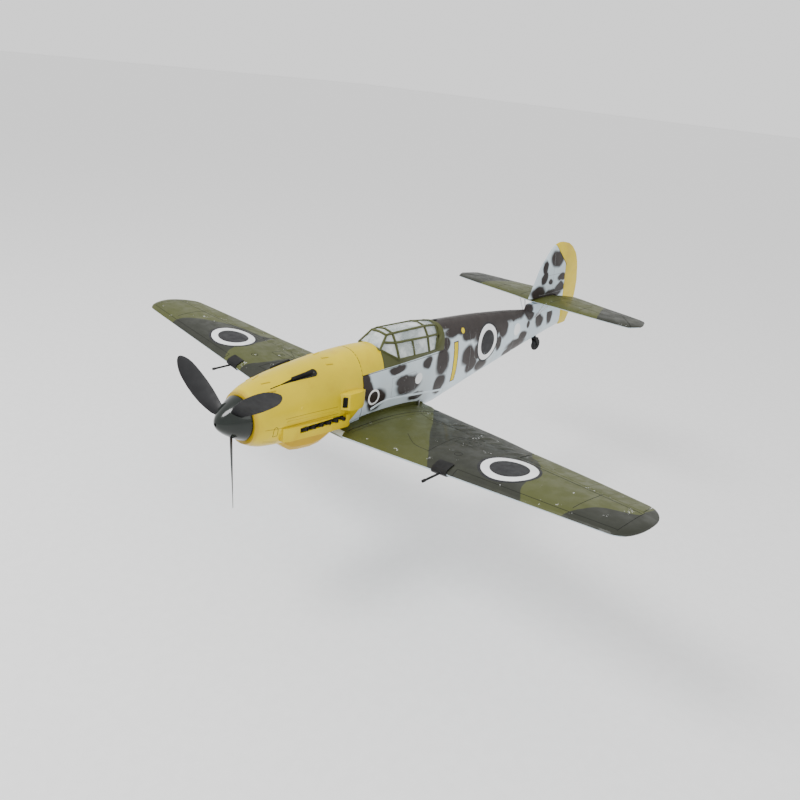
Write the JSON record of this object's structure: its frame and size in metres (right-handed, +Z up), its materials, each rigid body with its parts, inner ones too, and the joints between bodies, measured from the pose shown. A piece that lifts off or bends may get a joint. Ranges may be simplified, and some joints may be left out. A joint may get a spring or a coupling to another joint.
{
  "type": "radio-control warbird aeroplane",
  "caption": "Foam radio-control model of a 1940s single-engine fighter with propeller, moving control surfaces, retracting wheels and a lift-off canopy hatch.",
  "frame": {"origin": "bottom centre of the flat belly pad under the wing centre, the face the model is held by", "axes": "+Z up, nose towards -Y, left wing towards +X; the thrust line is parallel to Y, 92 mm above the origin"},
  "size_m": [1.18, 1.0579, 0.3558],
  "materials": {
    "foam_grey": "satin painted foam",
    "foam_yellow": "semi-gloss painted foam",
    "foam_olive": "satin painted foam",
    "spinner_green": "gloss moulded plastic",
    "black_plastic": "matt moulded plastic",
    "grey_plastic": "matt moulded plastic",
    "white_plastic": "moulded nylon",
    "clear_plastic": "clear formed sheet",
    "carbon_tube": "woven carbon tube",
    "steel_wire": "drawn wire",
    "aluminium": "machined",
    "copper_winding": "lacquered copper winding",
    "plywood": "birch plywood",
    "servo_blue": "translucent case",
    "battery_wrap": "shrink wrap",
    "strap": "woven hook-and-loop strap",
    "board_wrap": "shrink wrap",
    "tyre": "foam rubber"
  },
  "bodies": {
    "airframe": {"fuselage_left": "foam_grey", "fuselage_right": "foam_grey", "cowl_upper": "foam_yellow", "cowl_lower": "foam_yellow", "chin_cooler": "foam_yellow", "exhaust_fairings": "foam_yellow", "exhaust_stacks": "black_plastic", "supercharger_intake": "foam_yellow", "gun_troughs": "grey_plastic", "wing_center": "foam_grey", "wing_left": "foam_olive", "wing_right": "foam_olive", "wing_spars": "carbon_tube", "wing_screws": "steel_wire", "cannon_pads": "black_plastic", "cannon_barrels": "black_plastic", "fin": "foam_grey", "stabilizer": "foam_olive", "stab_struts": "steel_wire", "battery_tray": "plywood", "battery": "battery_wrap", "battery_strap": "strap", "speed_controller": "board_wrap", "receiver": "grey_plastic", "motor_mount": "plywood", "motor_stator": "copper_winding", "aileron_servos": "servo_blue", "tail_servos": "servo_blue", "retract_units": "grey_plastic"},
    "propeller_group": {"motor_bell": "aluminium", "prop_backplate": "spinner_green", "propeller": "black_plastic", "spinner": "spinner_green"},
    "aileron_left_body": {"aileron_left": "foam_olive", "aileron_left_horn": "white_plastic"},
    "aileron_right_body": {"aileron_right": "foam_olive", "aileron_right_horn": "white_plastic"},
    "aileron_left_arm_body": {"aileron_left_arm": "white_plastic"},
    "aileron_right_arm_body": {"aileron_right_arm": "white_plastic"},
    "aileron_left_rod_body": {"aileron_left_rod": "steel_wire"},
    "aileron_right_rod_body": {"aileron_right_rod": "steel_wire"},
    "elevator_body": {"elevator_halves": "foam_olive", "elevator_joiner": "carbon_tube", "elevator_horn": "white_plastic"},
    "elevator_arm_body": {"elevator_arm": "white_plastic"},
    "elevator_rod_body": {"elevator_rod": "steel_wire"},
    "rudder_body": {"rudder": "foam_yellow", "rudder_horn": "white_plastic"},
    "rudder_arm_body": {"rudder_arm": "white_plastic"},
    "rudder_rod_body": {"rudder_rod": "steel_wire"},
    "tail_fork_body": {"tail_wheel_fork": "black_plastic"},
    "tail_wheel_body": {"tail_wheel": "tyre"},
    "gear_left_body": {"gear_leg_left": "aluminium"},
    "gear_right_body": {"gear_leg_right": "aluminium"},
    "wheel_left_body": {"main_wheel_left": "tyre"},
    "wheel_right_body": {"main_wheel_right": "tyre"},
    "hatch_body": {"hatch_deck": "foam_yellow", "canopy_frame": "foam_olive", "canopy_glass": "clear_plastic", "cockpit_tub": "grey_plastic"}
  },
  "joints": [
    {"name": "propeller_spin", "type": "hinge", "parent": "airframe", "child": "propeller_group", "pos_m": [0, -0.273, 0.092], "axis": [0, 1, 0], "continuous": true},
    {"name": "aileron_left_hinge", "type": "hinge", "parent": "airframe", "child": "aileron_left_body", "pos_m": [0.336, 0.019, 0.06066], "axis": [0.9757, -0.1803, 0.1245], "range_deg": [-20, 20]},
    {"name": "aileron_right_hinge", "type": "hinge", "parent": "airframe", "child": "aileron_right_body", "pos_m": [-0.336, 0.019, 0.06066], "axis": [-0.9757, -0.1803, 0.1245], "range_deg": [-20, 20]},
    {"name": "aileron_left_arm_turn", "type": "hinge", "parent": "airframe", "child": "aileron_left_arm_body", "pos_m": [0.39594, -0.03885, 0.06938], "axis": [0.9757, -0.1803, 0.1245], "range_deg": [-20, 20]},
    {"name": "aileron_right_arm_turn", "type": "hinge", "parent": "airframe", "child": "aileron_right_arm_body", "pos_m": [-0.39594, -0.03885, 0.06938], "axis": [-0.9757, -0.1803, 0.1245], "range_deg": [-20, 20]},
    {"name": "aileron_left_rod_pin", "type": "hinge", "parent": "aileron_left_arm_body", "child": "aileron_left_rod_body", "pos_m": [0.39753, -0.03915, 0.05648], "axis": [0.9757, -0.1803, 0.1245], "range_deg": [-20, 20]},
    {"name": "aileron_right_rod_pin", "type": "hinge", "parent": "aileron_right_arm_body", "child": "aileron_right_rod_body", "pos_m": [-0.39753, -0.03915, 0.05648], "axis": [-0.9757, -0.1803, 0.1245], "range_deg": [-20, 20]},
    {"name": "elevator_hinge", "type": "hinge", "parent": "airframe", "child": "elevator_body", "pos_m": [0, 0.615, 0.166], "axis": [1, 0, 0], "range_deg": [-20, 20]},
    {"name": "elevator_arm_turn", "type": "hinge", "parent": "airframe", "child": "elevator_arm_body", "pos_m": [-0.019, 0.505, 0.116], "axis": [1, 0, 0], "range_deg": [-20, 20]},
    {"name": "elevator_rod_pin", "type": "hinge", "parent": "elevator_arm_body", "child": "elevator_rod_body", "pos_m": [-0.019, 0.505, 0.103], "axis": [1, 0, 0], "range_deg": [-20, 20]},
    {"name": "rudder_hinge", "type": "hinge", "parent": "airframe", "child": "rudder_body", "pos_m": [0, 0.66547, 0.117], "axis": [0, -0.1253, 0.9921], "range_deg": [-25, 25]},
    {"name": "rudder_arm_turn", "type": "hinge", "parent": "airframe", "child": "rudder_arm_body", "pos_m": [-0.009, 0.43729, 0.08817], "axis": [0, -0.1253, 0.9921], "range_deg": [-25, 25]},
    {"name": "rudder_rod_pin", "type": "hinge", "parent": "rudder_arm_body", "child": "rudder_rod_body", "pos_m": [-0.022, 0.43729, 0.08817], "axis": [0, -0.1253, 0.9921], "range_deg": [-25, 25]},
    {"name": "tail_wheel_steer", "type": "hinge", "parent": "airframe", "child": "tail_fork_body", "pos_m": [0, 0.571, 0.072], "axis": [0, 0, 1], "range_deg": [-25, 25]},
    {"name": "tail_wheel_spin", "type": "hinge", "parent": "tail_fork_body", "child": "tail_wheel_body", "pos_m": [0, 0.58, 0.051], "axis": [1, 0, 0], "continuous": true},
    {"name": "gear_left_retract", "type": "hinge", "parent": "airframe", "child": "gear_left_body", "pos_m": [0.076, -0.056, 0.026], "axis": [0, 1, 0], "range_deg": [0, 87]},
    {"name": "gear_right_retract", "type": "hinge", "parent": "airframe", "child": "gear_right_body", "pos_m": [-0.076, -0.056, 0.026], "axis": [0, -1, 0], "range_deg": [0, 87]},
    {"name": "wheel_left_spin", "type": "hinge", "parent": "gear_left_body", "child": "wheel_left_body", "pos_m": [0.18713, -0.056, 0.03989], "axis": [-0.124, 0, 0.9923], "continuous": true},
    {"name": "wheel_right_spin", "type": "hinge", "parent": "gear_right_body", "child": "wheel_right_body", "pos_m": [-0.18713, -0.056, 0.03989], "axis": [0.124, 0, 0.9923], "continuous": true},
    {"name": "hatch_lift", "type": "slide", "parent": "airframe", "child": "hatch_body", "axis": [0, 0, 1], "range_m": [0, 0.12]}
  ],
  "couplings": [
    {"joint": "aileron_right_hinge", "follows": "aileron_left_hinge", "ratio": 1},
    {"joint": "aileron_left_arm_turn", "follows": "aileron_left_hinge", "ratio": 1},
    {"joint": "aileron_right_arm_turn", "follows": "aileron_left_hinge", "ratio": 1},
    {"joint": "aileron_left_rod_pin", "follows": "aileron_left_hinge", "ratio": -1},
    {"joint": "aileron_right_rod_pin", "follows": "aileron_left_hinge", "ratio": -1},
    {"joint": "elevator_arm_turn", "follows": "elevator_hinge", "ratio": 1},
    {"joint": "elevator_rod_pin", "follows": "elevator_hinge", "ratio": -1},
    {"joint": "rudder_arm_turn", "follows": "rudder_hinge", "ratio": 1},
    {"joint": "rudder_rod_pin", "follows": "rudder_hinge", "ratio": -1},
    {"joint": "tail_wheel_steer", "follows": "rudder_hinge", "ratio": 1},
    {"joint": "gear_right_retract", "follows": "gear_left_retract", "ratio": 1}
  ]
}
